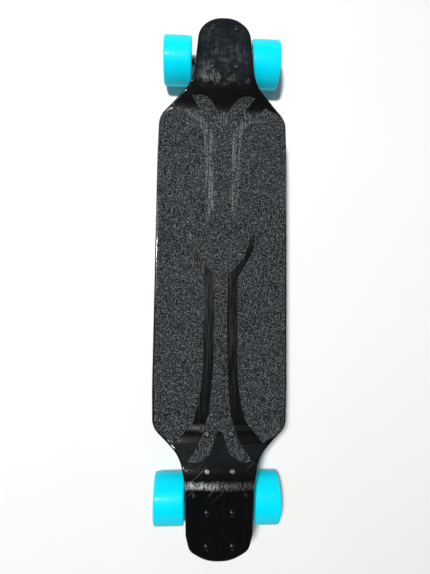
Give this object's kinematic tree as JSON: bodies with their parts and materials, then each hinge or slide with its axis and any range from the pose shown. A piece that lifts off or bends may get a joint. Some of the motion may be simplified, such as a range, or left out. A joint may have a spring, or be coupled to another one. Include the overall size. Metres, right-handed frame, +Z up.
{
  "type": "electric skateboard",
  "caption": "Electric longboard with a dropped platform, forked grip, spring-centred steering trucks, spinning wheels and a battery case underneath.",
  "frame": {"origin": "on the ground, under the middle of the board's overall box", "axes": "+Y towards the nose, +X to the rider's right, +Z up"},
  "size_m": [0.2296, 0.93, 0.1329],
  "materials": {
    "deck_lacquer": "gloss black lacquer over a wood laminate",
    "grip": "coarse abrasive grit",
    "rubber": "matte",
    "black_casting": "satin black powder coat",
    "clear_urethane": "satin",
    "bushing_urethane": "satin",
    "zinc_steel": "zinc plated",
    "black_steel": "black oxide",
    "wheel_urethane": "smooth cast urethane",
    "core_plastic": "moulded",
    "bearing_steel": "ground",
    "motor_shell": "satin black",
    "magnet": "nickel plated",
    "lamination": "stacked sheets",
    "copper": "enamelled copper",
    "case_plastic": "moulded, fine texture",
    "brass_insert": "knurled",
    "cell_wrap": "shrink sleeve",
    "nickel": "strip",
    "circuit_board": "solder mask",
    "controller_aluminium": "extruded",
    "button_plastic": "moulded",
    "port_metal": "plated",
    "gauge_window": "clear"
  },
  "bodies": {
    "chassis": {"deck_board": "deck_lacquer", "grip_tape": "grip", "front_riser": "rubber", "tail_bracket": "black_casting", "front_baseplate": "black_casting", "rear_baseplate": "black_casting", "front_pivot_cup": "clear_urethane", "rear_pivot_cup": "clear_urethane", "front_kingpin": "zinc_steel", "rear_kingpin": "zinc_steel", "front_kingpin_nut": "zinc_steel", "rear_kingpin_nut": "zinc_steel", "front_bushings": "bushing_urethane", "rear_bushings": "bushing_urethane", "front_cup_washers": "zinc_steel", "rear_cup_washers": "zinc_steel", "front_deck_bolts": "black_steel", "front_deck_nuts": "zinc_steel", "tail_bolts": "zinc_steel", "tail_side_screws": "black_steel", "rear_truck_screws": "zinc_steel", "case_tray": "case_plastic", "case_gasket": "rubber", "case_screws": "zinc_steel", "case_inserts": "brass_insert", "battery_cells": "cell_wrap", "cell_links": "nickel", "battery_manager": "circuit_board", "motor_controller": "controller_aluminium", "button_housing": "button_plastic", "charge_port": "port_metal", "gauge_lens": "gauge_window", "cable_glands": "case_plastic"},
    "front_truck": {"front_hanger": "black_casting", "front_axle": "zinc_steel", "front_axle_nuts": "zinc_steel", "front_speed_washers": "zinc_steel"},
    "rear_truck": {"rear_hanger": "black_casting", "rear_axle": "zinc_steel", "motor_stators": "lamination", "motor_windings": "copper"},
    "button": {"power_button": "button_plastic"},
    "front_left_wheel": {"front_left_tyre": "wheel_urethane", "front_left_core": "core_plastic", "front_left_bearings": "bearing_steel", "front_left_spacer": "bearing_steel"},
    "rear_left_wheel": {"rear_left_tyre": "wheel_urethane", "rear_left_rotor_can": "motor_shell", "rear_left_motor_cover": "motor_shell", "rear_left_motor_bearings": "bearing_steel", "rear_left_magnets": "magnet"},
    "front_right_wheel": {"front_right_tyre": "wheel_urethane", "front_right_core": "core_plastic", "front_right_bearings": "bearing_steel", "front_right_spacer": "bearing_steel"},
    "rear_right_wheel": {"rear_right_tyre": "wheel_urethane", "rear_right_rotor_can": "motor_shell", "rear_right_motor_cover": "motor_shell", "rear_right_motor_bearings": "bearing_steel", "rear_right_magnets": "magnet"}
  },
  "joints": [
    {"name": "front_steer", "type": "hinge", "parent": "chassis", "child": "front_truck", "pos_m": [0, 0.41293, 0.05207], "axis": [0, 0.7071, 0.7071], "range_deg": [-14, 14], "stiffness_Nm_per_rad": 90, "deforming": ["front_bushings"]},
    {"name": "rear_steer", "type": "hinge", "parent": "chassis", "child": "rear_truck", "pos_m": [0, -0.39113, 0.05207], "axis": [0, -0.7071, 0.7071], "range_deg": [-14, 14], "stiffness_Nm_per_rad": 90, "deforming": ["rear_bushings"]},
    {"name": "front_left_spin", "type": "hinge", "parent": "front_truck", "child": "front_left_wheel", "pos_m": [-0.084, 0.42, 0.045], "axis": [1, 0, 0], "continuous": true},
    {"name": "front_right_spin", "type": "hinge", "parent": "front_truck", "child": "front_right_wheel", "pos_m": [0.084, 0.42, 0.045], "axis": [1, 0, 0], "continuous": true},
    {"name": "rear_left_spin", "type": "hinge", "parent": "rear_truck", "child": "rear_left_wheel", "pos_m": [-0.084, -0.3982, 0.045], "axis": [1, 0, 0], "continuous": true},
    {"name": "rear_right_spin", "type": "hinge", "parent": "rear_truck", "child": "rear_right_wheel", "pos_m": [0.084, -0.3982, 0.045], "axis": [1, 0, 0], "continuous": true},
    {"name": "power_press", "type": "slide", "parent": "chassis", "child": "button", "axis": [1, 0, 0], "range_m": [0, 0.0015], "stiffness_N_per_m": 900, "springref_m": -0.0008}
  ]
}
